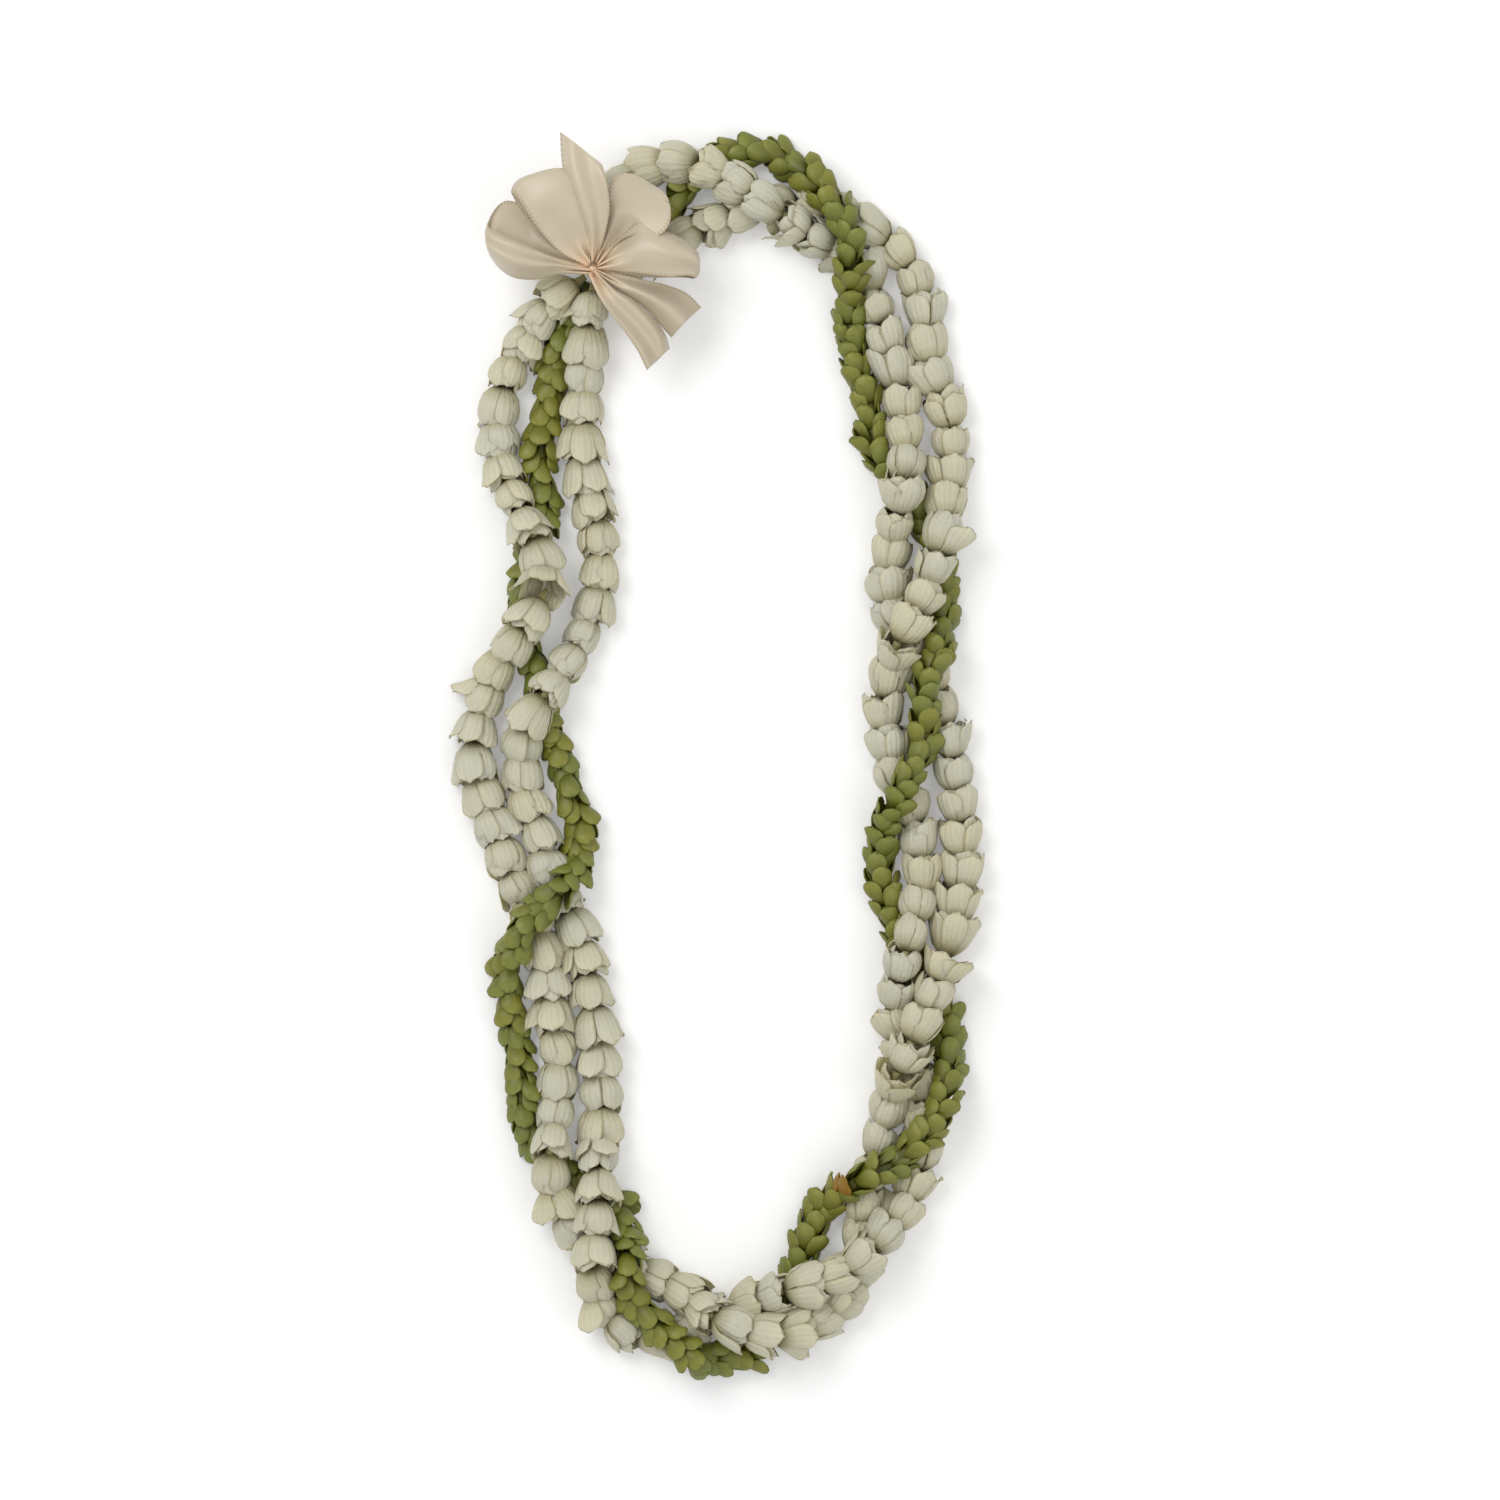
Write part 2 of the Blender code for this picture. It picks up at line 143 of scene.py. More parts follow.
def settled(strands):
    """The routes after the strands have sunk onto the surface and onto each other. Strands that
    touch push each other apart, more upwards than sideways, so the loop keeps its plan."""
    points = np.concatenate([strand["route"] for strand in strands])
    room = np.concatenate([room_along(s) for s in strands])
    rest = np.concatenate([np.full(len(s["route"]), s["rest"]) for s in strands])
    owner = np.concatenate([np.full(len(s["route"]), i) for i, s in enumerate(strands)])
    along = np.concatenate([distances_along(s["route"]) for s in strands])
    ends = np.flatnonzero(np.diff(owner)) + 1
    pinned = np.isin(np.arange(len(points)), [0, *ends, *(ends - 1), len(points) - 1])
    need = room[:, None] + room[None, :] + GAP
    same = (owner[:, None] == owner[None, :]) & (abs(along[:, None] - along[None, :]) < SAME_STRETCH)
    plan = points[:, :2].copy()
    weight = np.array([SIDEWAYS, SIDEWAYS, 1.0])
    for step in range(SETTLING_STEPS):
        before = points.copy()
        if step < SETTLING_STEPS * FALLING_SHARE:
            points[:, 2] -= FALL
            inner = ~pinned[1:-1]
            middle = (points[:-2] + points[2:]) / 2
            points[1:-1][inner] += SMOOTHING * (middle - points[1:-1])[inner]
            points[:, :2] += PLAN_PULL * (plan - points[:, :2])
        apart = points[:, None] - points[None, :]
        distance = np.linalg.norm(apart, axis=2) + 1e-9
        short = np.where(same, 0.0, np.clip(need - distance, 0, None))
        push = (apart * (short / distance)[..., None] * 0.5).sum(axis=1)
        points += push / np.maximum((short > 0).sum(axis=1), 1)[:, None] * weight * PUSH
        points[:, 2] = np.maximum(points[:, 2], rest)
        points[pinned] = before[pinned]
    return np.split(points, ends)


def stringing(route, pitch):
    """Where each flower's base is along a route, evenly spaced between the bare ends."""
    length = distances_along(route)[-1] - 2 * BARE_THREAD
    count = int(length / pitch)
    return BARE_THREAD + np.arange(count + 1) * (length / count)


def strand(name, points, white):
    rest = WHITE_REST if white else GREEN_REST
    route = np.array([(x * MM, y * MM, rest + level * LIFT) for x, y, level in points])
    return {
        "name": name,
        "white": white,
        "route": smooth_route(route),
        "rest": rest,
        "room": WHITE_ROOM if white else GREEN_ROOM,
        "pitch": WHITE_PITCH if white else GREEN_PITCH,
    }


# ---------------------------------------------------------------- node materials
VEINS = 15.0
RIB_PITCH_MM = 1.3
WEAVE_PITCH_MM = 0.3
# Painted shade: khaki laid on the inner petals' bases, far into each white blossom, and on its tube.
PAINTED_SHADE_KHAKI = (0.30, 0.265, 0.10)
# Painted shade along the white petals' edges and tips.
EDGE_SHADE_KHAKI = (0.42, 0.37, 0.21)
# Painted shade along the green lobes' edges, where they meet.
GREEN_EDGE_SHADE = (0.13, 0.14, 0.014)
WITHERED = (0.27, 0.145, 0.01)


def new_material(name):
    made = bpy.data.materials.new(name)
    made.use_nodes = True
    tree = made.node_tree
    return made, tree, tree.nodes["Principled BSDF"]


def attribute(tree, name):
    node = tree.nodes.new("ShaderNodeAttribute")
    node.attribute_name = name
    return node.outputs["Fac"]


def ramp(tree, source, *stops):
    """A colour or grey ramp over a 0 to 1 value; each stop is (place, (r, g, b))."""
    node = tree.nodes.new("ShaderNodeValToRGB")
    tree.links.new(source, node.inputs["Fac"])
    elements = node.color_ramp.elements
    while len(elements) < len(stops):
        elements.new(1.0)
    for element, (place, colour) in zip(elements, stops):
        element.position = place
        element.color = (*colour, 1)
    return node.outputs["Color"]


def mix(tree, share, a, b, kind="MIX"):
    """A colour mix; its factor and two colour inputs are sockets 0, 6 and 7, its result output 2."""
    node = tree.nodes.new("ShaderNodeMix")
    node.data_type = "RGBA"
    node.blend_type = kind
    for socket, value in ((0, share), (6, a), (7, b)):
        if isinstance(value, (float, int)):
            node.inputs[socket].default_value = value
        elif isinstance(value, tuple):
            node.inputs[socket].default_value = (*value, 1)
        else:
            tree.links.new(value, node.inputs[socket])
    return node.outputs[2]


def math_node(tree, operation, a, b=0.0, c=0.0):
    node = tree.nodes.new("ShaderNodeMath")
    node.operation = operation
    for socket, value in zip(node.inputs, (a, b, c)):
        if isinstance(value, (float, int)):
            socket.default_value = value
        else:
            tree.links.new(value, socket)
    return node.outputs[0]


def noise(tree, scale, detail=2.0, roughness=0.5):
    place = tree.nodes.new("ShaderNodeTexCoord")
    node = tree.nodes.new("ShaderNodeTexNoise")
    node.inputs["Scale"].default_value = scale
    node.inputs["Detail"].default_value = detail
    node.inputs["Roughness"].default_value = roughness
    tree.links.new(place.outputs["Object"], node.inputs["Vector"])
    return node.outputs["Fac"]


def bump(tree, shader, height, distance, strength=1.0):
    node = tree.nodes.new("ShaderNodeBump")
    node.inputs["Strength"].default_value = strength
    node.inputs["Distance"].default_value = distance
    tree.links.new(height, node.inputs["Height"])
    tree.links.new(node.outputs["Normal"], shader.inputs["Normal"])


def white_petal_material():
    """Ivory petals with faint lengthwise veins. Painted shade: khaki far into the blossom and as thin
    khaki edges, and an ochre base that is partly the petals' own colour.
    """
    made, tree, shader = new_material("white_petal_fresh")
    along = attribute(tree, "along")
    edge = attribute(tree, "edge")
    across = attribute(tree, "across")
    tint = attribute(tree, "tint")
    painted_shade_and_withering = attribute(tree, "painted_shade_and_withering")
    # darker ochre towards the base: partly the petal's own colour, partly painted shade in the gaps
    # between blossoms
    body = ramp(tree, along, (0.0, (0.30, 0.27, 0.10)), (0.14, (0.47, 0.44, 0.27)),
                (0.42, (0.65, 0.625, 0.455)), (1.0, (0.68, 0.655, 0.488)))
    cream = ramp(tree, tint, (0.0, (0.96, 0.965, 0.985)), (1.0, (1.0, 0.965, 0.88)))
    colour = mix(tree, 1.0, body, cream, "MULTIPLY")
    # painted shade: khaki far into the blossom, on the inner whorl's bases and on the tube
    colour = mix(tree, math_node(tree, "MULTIPLY", painted_shade_and_withering, 0.8), colour, PAINTED_SHADE_KHAKI)
    # painted shade: khaki along the petal's edges and tip
    edge_shade = ramp(tree, edge, (0.86, (0, 0, 0)), (0.97, (0.75, 0.75, 0.75)))
    colour = mix(tree, edge_shade, colour, EDGE_SHADE_KHAKI)
    waves = math_node(tree, "SINE", math_node(tree, "MULTIPLY", across, VEINS))
    wander = math_node(tree, "MULTIPLY", noise(tree, 900, 2), 1.4)
    veins = math_node(tree, "ADD", math_node(tree, "MULTIPLY", waves, 0.35), wander)
    shade = ramp(tree, veins, (0.35, (0.93, 0.92, 0.88)), (1.1, (1.0, 1.0, 1.0)))
    colour = mix(tree, 0.6, colour, shade, "MULTIPLY")
    tree.links.new(colour, shader.inputs["Base Color"])
    shader.inputs["Roughness"].default_value = 0.52
    shader.inputs["Specular IOR Level"].default_value = 0.35
    shader.inputs["Subsurface Weight"].default_value = 0.3
    shader.inputs["Subsurface Radius"].default_value = (1.0, 0.9, 0.45)
    shader.inputs["Subsurface Scale"].default_value = 0.003
    shader.inputs["Sheen Weight"].default_value = 0.08
    bump(tree, shader, veins, 0.0003, 0.7)
    return made


def green_petal_material():
    """Fleshy yellow-green lobes, darker towards the throat, partly their own deeper green and partly
    painted shade, and with painted shade along their edges between them.
    """
    made, tree, shader = new_material("green_petal_fresh")
    along = attribute(tree, "along")
    edge = attribute(tree, "edge")
    tint = attribute(tree, "tint")
    # on green blossoms this attribute marks only the withered lobes, their own brown
    brown = attribute(tree, "painted_shade_and_withering")
    # darker towards the throat: partly the lobe's own deeper green, partly painted shade
    body = ramp(tree, along, (0.0, (0.075, 0.08, 0.005)), (0.35, (0.146, 0.156, 0.018)),
                (0.75, (0.212, 0.223, 0.038)), (1.0, (0.238, 0.254, 0.05)))
    yellow = ramp(tree, tint, (0.0, (0.86, 0.93, 1.0)), (1.0, (1.08, 1.0, 0.8)))
    colour = mix(tree, 1.0, body, yellow, "MULTIPLY")
    blotch = ramp(tree, noise(tree, 420, 3), (0.35, (0.82, 0.84, 0.78)), (0.65, (1.0, 1.0, 1.0)))
    colour = mix(tree, 0.8, colour, blotch, "MULTIPLY")
    # painted shade: darker green along the lobe's edges, between the lobes
    edge_shade = ramp(tree, edge, (0.8, (0, 0, 0)), (1.0, (0.5, 0.5, 0.5)))
    colour = mix(tree, edge_shade, colour, GREEN_EDGE_SHADE)
    colour = mix(tree, brown, colour, WITHERED)
    tree.links.new(colour, shader.inputs["Base Color"])
    shader.inputs["Roughness"].default_value = 0.45
    shader.inputs["Specular IOR Level"].default_value = 0.4
    shader.inputs["Subsurface Weight"].default_value = 0.1
    shader.inputs["Subsurface Radius"].default_value = (0.6, 0.8, 0.2)
    shader.inputs["Subsurface Scale"].default_value = 0.001
    bump(tree, shader, noise(tree, 1500, 2), 0.00008, 0.4)
    return made


def satin_material(name, gathered):
    """Ivory satin: a blush towards the gathers, a fine weave and a ribbed woven edge. Its gathered
    share, 0 to 1, is the least blush that it has anywhere."""
    made, tree, shader = new_material(name)
    blush = math_node(tree, "MAXIMUM", attribute(tree, "blush"), gathered)
    along = attribute(tree, "along_mm")
    across = attribute(tree, "across_mm")
    edge = attribute(tree, "edge")
    colour = ramp(tree, blush, (0.0, (0.575, 0.497, 0.365)), (0.55, (0.66, 0.53, 0.37)),
                  (1.0, (0.9, 0.64, 0.43)))
    soft = ramp(tree, noise(tree, 60, 2), (0.3, (0.94, 0.94, 0.93)), (0.7, (1.0, 1.0, 1.0)))
    colour = mix(tree, 0.7, colour, soft, "MULTIPLY")
    ribs = math_node(tree, "SINE", math_node(tree, "MULTIPLY", along, 2 * math.pi / RIB_PITCH_MM))
    at_edge = ramp(tree, edge, (0.88, (0, 0, 0)), (0.91, (1, 1, 1)))
    stitch = math_node(tree, "MULTIPLY", at_edge, math_node(tree, "MULTIPLY", ribs, 0.5))
    weave = math_node(tree, "SINE", math_node(tree, "MULTIPLY", across, 2 * math.pi / WEAVE_PITCH_MM))
    height = math_node(tree, "ADD", stitch, math_node(tree, "MULTIPLY", weave, 0.08))
    dark_rib = math_node(tree, "MULTIPLY", at_edge, math_node(tree, "MULTIPLY_ADD", ribs, 0.5, 0.5))
    dim = ramp(tree, dark_rib, (0.0, (1, 1, 1)), (1.0, (0.72, 0.69, 0.6)))
    colour = mix(tree, 1.0, colour, dim, "MULTIPLY")
    tree.links.new(colour, shader.inputs["Base Color"])
    shader.inputs["Roughness"].default_value = 0.36
    shader.inputs["Specular IOR Level"].default_value = 0.5
    shader.inputs["Sheen Weight"].default_value = 0.25
    shader.inputs["Sheen Roughness"].default_value = 0.4
    shader.inputs["Subsurface Weight"].default_value = 0.05
    shader.inputs["Subsurface Scale"].default_value = 0.001
    bump(tree, shader, height, 0.0001, 0.6)
    return made


def cotton_material():
    """Natural cotton string with a fine twist."""
    made, tree, shader = new_material("cotton_string")
    fibre = ramp(tree, noise(tree, 2500, 3), (0.3, (0.5, 0.46, 0.33)), (0.7, (0.72, 0.68, 0.55)))
    tree.links.new(fibre, shader.inputs["Base Color"])
    shader.inputs["Roughness"].default_value = 0.85
    bump(tree, shader, noise(tree, 4000, 1), 0.0001, 0.6)
    return made


# ---------------------------------------------------------------- petals
class Mesh:
    """Grids of points gathered into one mesh, with values kept at each point."""

    def __init__(self):
        self.points = []
        self.faces = []
        self.values = {}
        self.count = 0

    def grid(self, points, values, closed=False):
        """Adds a rows x columns x 3 grid; closed joins the last column to the first."""
        rows, columns = points.shape[:2]
        first = self.count
        self.points.append(points.reshape(-1, 3))
        for i in range(rows - 1):
            for j in range(columns if closed else columns - 1):
                k = (j + 1) % columns
                a = first + i * columns
                self.faces.append((a + j, a + k, a + columns + k, a + columns + j))
        for name, value in values.items():
            spread = np.broadcast_to(value, (rows, columns)).reshape(-1)
            self.values.setdefault(name, []).append(spread)
        self.count += rows * columns

    def build(self, name, material, thickness):
        data = bpy.data.meshes.new(name)
        data.from_pydata(np.concatenate(self.points), [], self.faces)
        for key, parts in self.values.items():
            layer = data.attributes.new(key, "FLOAT", "POINT")
            layer.data.foreach_set("value", np.concatenate(parts).astype(np.float32))
        data.materials.append(material)
        data.shade_smooth()
        piece = bpy.data.objects.new(name, data)
        bpy.context.scene.collection.objects.link(piece)
        shell = piece.modifiers.new("thickness", "SOLIDIFY")
        shell.thickness = thickness
        shell.offset = 0
        return piece


def curve_of(stops):
    """A smooth function through (place, value) stops, for arrays."""
    places = np.array([p for p, _ in stops], float)
    values = np.array([v for _, v in stops], float)
    fine = np.linspace(0, 1, 101)
    read = np.interp(fine, places, values)
    for _ in range(3):
        read[1:-1] = (read[:-2] + 2 * read[1:-1] + read[2:]) / 4
    return lambda x: np.interp(x, fine, read)


# Petal shapes in millimetres, from the base (0) to the tip (1): half the width, and how far the
# petal's middle stands off the thread.
WHITE_WIDTH = curve_of(((0, 1.5), (0.12, 3.3), (0.35, 5.0), (0.6, 5.7), (0.76, 5.5), (0.88, 4.5),
                        (0.95, 3.2), (1, 0.9)))
WHITE_BUD = curve_of(((0, 1.7), (0.08, 3.6), (0.25, 5.9), (0.5, 7.1), (0.7, 7.1), (0.88, 6.2),
                      (1, 4.9)))
WHITE_OPEN = curve_of(((0, 1.7), (0.08, 3.6), (0.25, 6.0), (0.5, 7.5), (0.7, 8.2), (0.88, 8.7),
                       (1, 9.0)))
WHITE_SPLAYED = curve_of(((0, 1.7), (0.1, 4.4), (0.3, 7.0), (0.5, 8.4), (0.75, 9.8), (1, 11.0)))
GREEN_WIDTH = curve_of(((0, 1.5), (0.2, 2.9), (0.45, 4.1), (0.66, 4.4), (0.8, 3.9), (0.9, 3.0),
                        (0.96, 1.9), (1, 0.4)))
GREEN_RISE = curve_of(((0, 2.3), (0.25, 4.1), (0.5, 5.6), (0.75, 6.3), (1, 6.0)))
FLOWER_LENGTH = 15.4
GREEN_LENGTH = (9.6, 11.4)
GREEN_LOBES = 6
LOBE_TURN = math.radians(137.5)
# How far a petal turns its face up, and how many petals have come loose or splayed.
WHITE_FACE_UP = 0.22
GREEN_FACE_UP = 0.6
OPENNESS = (0, 0, 0.1, 0.2, 0.35, 0.6, 0.9)
OUTER_PETALS = 5
INNER_PETALS = 4
LOOSE_SHARE = 0.2
SPLAYED_SHARE = 0.04
# The wide-open blossoms and the browned one, in millimetres, and how near to them a base must be.
WIDE_PLACES = ((80.6, -87.2), (-63.8, 67.3))
WIDE_TIP = math.radians(32)
BROWN_PLACE = (36, -164)
NEAR = 8.0
# A petal's grid and its small waves; the surface presses the lowest petals flat.
PETAL_ROWS = 12
PETAL_COLUMNS = 11
PETAL_SWELL = 0.22
PETAL_WAVE = 0.28
PETAL_LAP = 0.42
ROUNDED_FROM = 0.55
TORN_FROM = 0.85
TIGHTEST_BEND = 2.2
PRESSED = 0.55 * MM
PETAL_HALF = 0.2 * MM
WHITE_THICKNESS = 0.28 * MM
GREEN_THICKNESS = 0.6 * MM
WHITE_SWAY = 0.1
GREEN_SWAY = 0.12


def petal(width, reach, length, turn, cup, rng, flip=1.0, torn=0.16, twist=0.0,
          rounding=0.07, rows=PETAL_ROWS, columns=PETAL_COLUMNS):
    """One petal round the X axis, in millimetres, as a grid of points with its own small waves. Its
    rows draw together towards the tip, so that the tip is round."""
    u = 1 - (1 - np.linspace(0, 1, rows)[:, None]) ** 1.5
    v = np.linspace(-1, 1, columns)[None, :]
    half = width(u) * rng.uniform(0.92, 1.08)
    radius = reach(u) + PETAL_SWELL * np.sin(u * rng.uniform(3, 6) + rng.uniform(0, 6.3))
    bend = np.maximum(radius * cup, TIGHTEST_BEND)
    angle = v * half / bend
    wave = PETAL_WAVE * u * np.sin(v * rng.uniform(2, 4) + rng.uniform(0, 6.3) + u * 3)
    wave = wave + rng.uniform(-0.3, 0.5) * u * v**4
    lap = PETAL_LAP * v * flip * np.clip(u * 4, 0, 1)
    side = (bend + wave) * np.sin(angle)
    out = radius - bend + (bend + wave) * np.cos(angle) + lap + twist * u * side
    tip = 1 - rounding * (v**2) * np.clip((u - ROUNDED_FROM) / (1 - ROUNDED_FROM), 0, 1) ** 1.5
    tear = np.sin(v * rng.uniform(5, 9) + rng.uniform(0, 6))
    x = length * u * tip + torn * np.clip((u - TORN_FROM) / (1 - TORN_FROM), 0, 1) * tear
    c, s = math.cos(turn), math.sin(turn)
    grid = np.stack(np.broadcast_arrays(x, out * c - side * s, out * s + side * c), axis=-1)
    edge = np.maximum(np.abs(v), np.broadcast_to(u, (rows, columns)) ** 3)
    return grid, {"along": u, "edge": edge, "across": v}


def throat(rows, start, length, radius, flare):
    """A round tube along the X axis, in millimetres, as a grid that closes on itself."""
    t = np.linspace(0, 1, rows)[:, None]
    around = np.linspace(0, 2 * math.pi, 9)[None, :-1]
    wide = radius + flare * t
    return np.stack(
        np.broadcast_arrays(start + length * t, wide * np.cos(around), wide * np.sin(around)), -1
    )


def placed(grid, matrix):
    """A grid in millimetres put where the matrix says, in metres, and pressed by the surface."""
    rotation = np.array(matrix.to_3x3())
    moved = grid @ rotation.T * MM + np.array(matrix.translation)
    moved[..., 2] = PRESSED * np.logaddexp(0, moved[..., 2] / PRESSED) + PETAL_HALF
    return moved


def frame_at(route, along, ahead, rng, sway):
    """The matrix of a flower based at this distance along a route, X along the thread."""
    marks = distances_along(route)
    base, tip = (
        Vector([np.interp(d, marks, route[:, i]) for i in range(3)]) for d in (along, along + ahead)
    )
    x = (tip - base).normalized()
    x = (x + Vector([rng.uniform(-sway, sway) for _ in range(3)])).normalized()
    y = Vector((0, 0, 1)).cross(x).normalized()
    z = x.cross(y)
    matrix = Matrix((x, y, z)).transposed().to_4x4()
    matrix.translation = base
    return matrix


def white_flower(mesh, matrix, rng, wide):
    """A strung blossom: an outer whorl lapped like a bud, an inner whorl, and its short tube. A wide
    one is open like a cup, tipped so that its mouth faces up."""
    size = rng.uniform(0.92, 1.1)
    openness = rng.choice(OPENNESS)
    # petals, their size, their length and how far they spread
    whorls = ((OUTER_PETALS, 1.0, 1.0, openness), (INNER_PETALS, 0.84, 1.02, openness * 0.6))
    if wide:
        whorls = ((OUTER_PETALS, 1.16, 0.86, 1.2), (INNER_PETALS, 1.04, 0.78, 1.1))
        matrix = matrix @ Matrix.Rotation(-WIDE_TIP, 4, "Y")
    tint = rng.random()
    roll = rng.uniform(0, 2 * math.pi)
    flip = rng.choice((-1, 1))

    def reach(grow, spread):
        return lambda u: size * grow * ((1 - spread) * WHITE_BUD(u) + spread * WHITE_OPEN(u))

    for count, grow, tall, spread in whorls:
        outer = count == OUTER_PETALS
        for i in range(count):
            turn = roll + 2 * math.pi * i / count + rng.uniform(-0.2, 0.2) + (1 - grow) * 4
            lift = spread + rng.uniform(-0.2, 0.35)
            twist = rng.uniform(-0.15, 0.15) - WHITE_FACE_UP * math.cos(turn)
            if outer and rng.random() < LOOSE_SHARE:
                lift = rng.uniform(0.5, 1.05)
                twist *= 2
            if outer and not wide and rng.random() < SPLAYED_SHARE:
                # the petals after a splayed one are shorter too
                shape, twist, tall = WHITE_SPLAYED, -math.cos(turn), 0.85
            else:
                shape = reach(grow * rng.uniform(0.97, 1.04), lift)
            length = FLOWER_LENGTH * size * tall * rng.uniform(0.86, 1.05)
            grid, values = petal(WHITE_WIDTH, shape, length, turn, rng.uniform(0.8, 1.0), rng,
                                 flip, twist=twist)
            # painted shade on the inner whorl, strongest at its petals' bases far into the blossom
            inner_shade = 0.0 if outer else np.clip(1 - values["along"] * 1.6, 0, 1)
            mesh.grid(placed(grid, matrix), {**values, "tint": tint, "painted_shade_and_withering": inner_shade * 0.9})
    # the tube gets a fixed share of the painted shade
    mesh.grid(placed(throat(5, -4, 5.5, 1.1, 0.7), matrix),
              {"along": 0.05, "edge": 0.0, "across": 0.0, "tint": 1.0, "painted_shade_and_withering": 0.5}, closed=True)


def green_flower(mesh, matrix, rng, browned):
    """A small fleshy blossom of oval lobes, set one behind another round a narrow throat. A
    browned one has two withered lobes."""
    size = rng.uniform(0.94, 1.08)
    tint = rng.random()
    roll = rng.uniform(0, 2 * math.pi)
    for i in range(GREEN_LOBES):
        turn = roll + LOBE_TURN * i + rng.uniform(-0.14, 0.14)
        flare = rng.uniform(0.85, 1.08)
        length = rng.uniform(*GREEN_LENGTH) * size
        grid, values = petal(GREEN_WIDTH, lambda u: size * (1 + (flare - 1) * u) * GREEN_RISE(u),
                             length, turn, rng.uniform(0.62, 0.82), rng, flip=0.3, torn=0.0,
                             twist=-GREEN_FACE_UP * math.cos(turn), rounding=0.03,
                             rows=11, columns=9)
        grid[..., 0] += i * GREEN_PITCH / MM / GREEN_LOBES + rng.uniform(-0.4, 0.4)
        withered = float(browned and i % 3 == 0)
        mesh.grid(placed(grid, matrix), {**values, "tint": tint, "painted_shade_and_withering": withered})
    mesh.grid(placed(throat(4, -3, 12, 2.3, 0.4), matrix),
              {"along": 0.0, "edge": 0.0, "across": 0.0, "tint": tint, "painted_shade_and_withering": 0.0}, closed=True)


def string_flowers(each, material):
    """All the runs of one strand, each one piece in place of its CAD node."""
    rng = random.Random(each["name"])
    route = each["route"]
    marks = stringing(route, each["pitch"])
    run_ends = np.round(np.linspace(0, len(marks) - 1, RUNS_PER_STRAND + 1)).astype(int)
    sway = WHITE_SWAY if each["white"] else GREEN_SWAY
    thickness = WHITE_THICKNESS if each["white"] else GREEN_THICKNESS
    for i, (first, last) in enumerate(zip(run_ends, run_ends[1:])):
        mesh = Mesh()
        for along in marks[first:last]:
            matrix = frame_at(route, along, each["pitch"], rng, sway)
            base = matrix.translation.xy / MM
            if each["white"]:
                wide = any((base - Vector(place)).length < NEAR for place in WIDE_PLACES)
                white_flower(mesh, matrix, rng, wide)
            else:
                green_flower(mesh, matrix, rng, (base - Vector(BROWN_PLACE)).length < NEAR)
        node = f"{each['name']}_flowers_{i + 1:02d}"
        piece = mesh.build(node + "_petals", material, thickness)
        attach(piece, BODY)
        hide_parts(node)


# ---------------------------------------------------------------- the bow
# Each loop or tail is given by the two edges of its ribbon seen from above, in millimetres, from the
# gather outwards and (for a loop) back under itself, with the height of its middle line over
# BOW_HEIGHT. Its bulge rounds the far end, its phase places the folds, its crown arches it across
# and its tilt raises one edge.
BOW_CENTRE = (-47.3, 182.6)
BOW_HEIGHT = 22.0
RIBBON_WIDTH = 22.0
RIBBON_THICKNESS = 0.25
RIBBON_ROWS = 70
RIBBON_COLUMNS = 49
# The least share of its flat area that a ribbon keeps: its folds are deepened until it does.
RIBBON_KEPT = 0.75
DEEPENING = np.arange(1, 3, 0.1)
